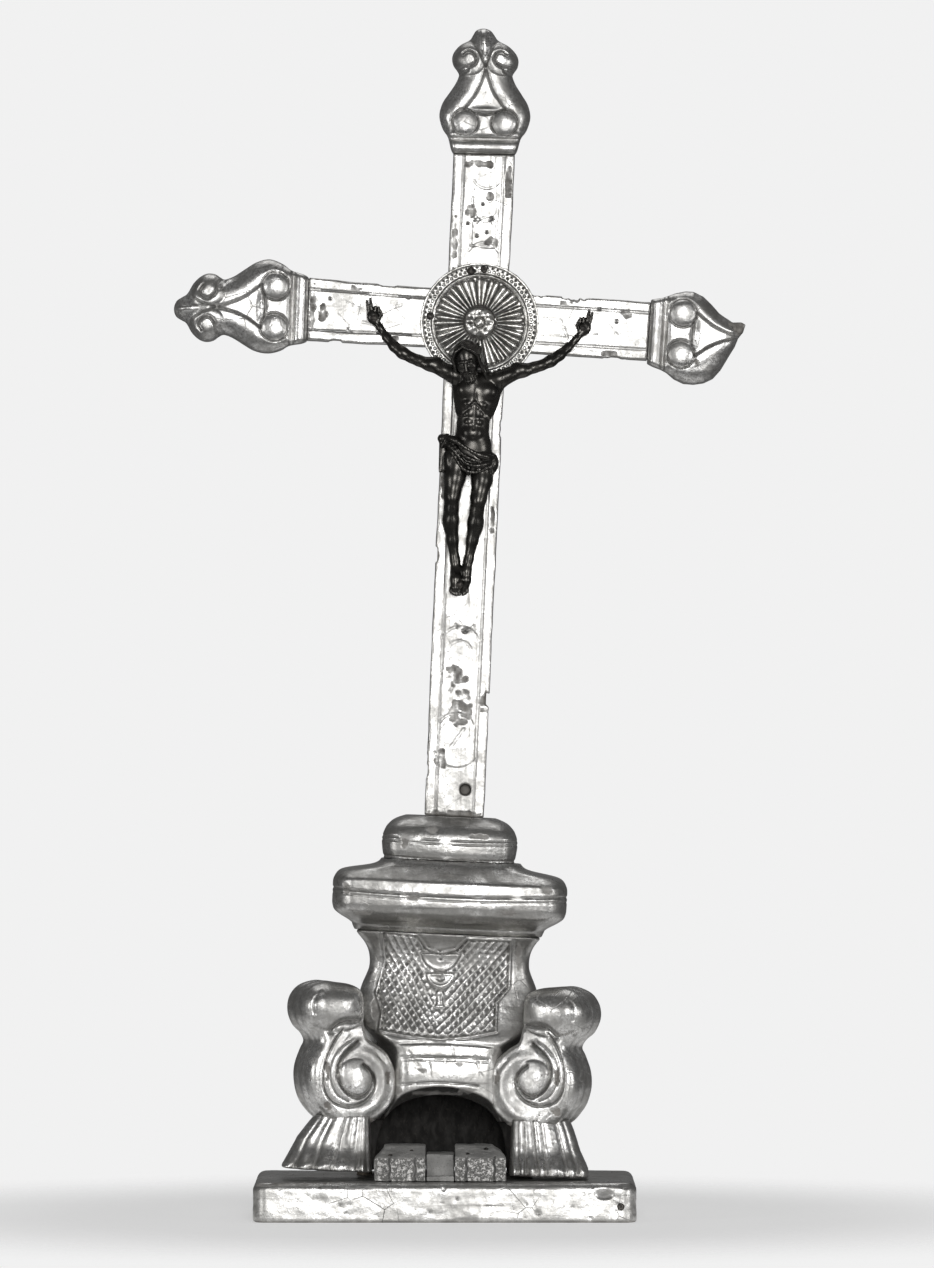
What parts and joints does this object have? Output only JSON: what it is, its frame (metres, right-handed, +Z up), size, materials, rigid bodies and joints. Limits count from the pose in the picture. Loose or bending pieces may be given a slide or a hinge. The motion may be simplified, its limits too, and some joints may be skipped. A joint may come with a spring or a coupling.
{
  "type": "altar cross",
  "caption": "Carved and silvered wooden altar cross with scroll finials, a rosette and a cast figure, standing in a waisted pedestal with two scroll consoles on a board.",
  "frame": {"origin": "middle of the plinth board's flat underside, where the cross stands on an altar or shelf", "axes": "+Z up, front (the figure's side) towards -Y, +X to the right of a person facing the front; the pedestal and the cross lean a little towards +X, as the aged object does"},
  "size_m": [0.2873, 0.121, 0.595],
  "materials": {
    "silvered_wood": "silver leaf over gesso and bole on carved wood, burnished, worn and tarnished",
    "raw_wood": "unfinished aged wood",
    "masonry_paint": "grey distemper with worn silver over wooden blocks",
    "dark_cast_metal": "dark patinated cast bronze with rubbed highlights",
    "pressed_sheet": "pressed sheet metal, silvered, tarnished in the recesses",
    "iron": "hand-made iron nails, dark"
  },
  "bodies": {
    "stand": {"plinth_board": "silvered_wood", "left_wall_block": "masonry_paint", "right_wall_block": "masonry_paint", "middle_wall_block": "masonry_paint", "wall_nail_1": "iron", "wall_nail_2": "iron", "wall_nail_3": "iron", "wall_nail_4": "iron", "plinth_nail": "iron", "left_plinth_dowel": "raw_wood", "right_plinth_dowel": "raw_wood", "left_foot": "silvered_wood", "right_foot": "silvered_wood", "left_console": "silvered_wood", "right_console": "silvered_wood", "pedestal_body": "silvered_wood", "back_board": "raw_wood", "back_nail_1": "iron", "back_nail_2": "iron", "back_nail_3": "iron", "back_nail_4": "iron", "left_cap_dowel": "raw_wood", "right_cap_dowel": "raw_wood", "cap_moulding": "silvered_wood", "cap_nail": "iron", "socket_block": "silvered_wood"},
    "cross": {"upright_board": "silvered_wood", "arm_board": "silvered_wood", "lap_peg": "raw_wood", "top_finial": "silvered_wood", "left_finial": "silvered_wood", "right_finial": "silvered_wood", "top_finial_dowel": "raw_wood", "left_finial_dowel": "raw_wood", "right_finial_dowel": "raw_wood", "rosette": "pressed_sheet", "rosette_nail_1": "iron", "rosette_nail_2": "iron", "rosette_nail_3": "iron", "figure_body": "dark_cast_metal", "figure_left_arm": "dark_cast_metal", "figure_right_arm": "dark_cast_metal", "left_hand_nail": "iron", "right_hand_nail": "iron", "feet_nail": "iron"}
  },
  "joints": [
    {"name": "cross_lift", "type": "slide", "parent": "stand", "child": "cross", "axis": [0.0454, 0, 0.999], "range_m": [0, 0.045]}
  ]
}
